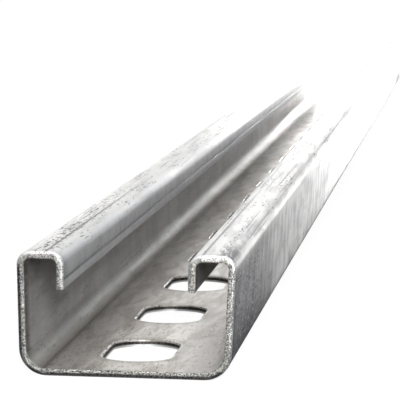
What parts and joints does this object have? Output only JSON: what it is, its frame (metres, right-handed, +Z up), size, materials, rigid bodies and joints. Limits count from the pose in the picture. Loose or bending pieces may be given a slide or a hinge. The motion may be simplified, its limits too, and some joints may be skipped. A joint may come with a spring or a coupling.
{
  "type": "perforated strut channel",
  "caption": "Roll-formed steel strut channel: shallow C section with turned-in lips and a slotted web, open side up, plain galvanised finish.",
  "frame": {"origin": "under the middle of the web, at half the length, on the surface that the channel lies on", "axes": "+X across the channel, +Y along its length, +Z up, out of the open side"},
  "size_m": [0.0412, 1, 0.0235],
  "materials": {
    "galvanised_steel": "pre-galvanised sheet steel, dull mid-grey zinc with scuffs, drawn streaks along the bends and rough cut ends"
  },
  "bodies": {
    "root": {"strut_channel": "galvanised_steel"}
  },
  "joints": []
}
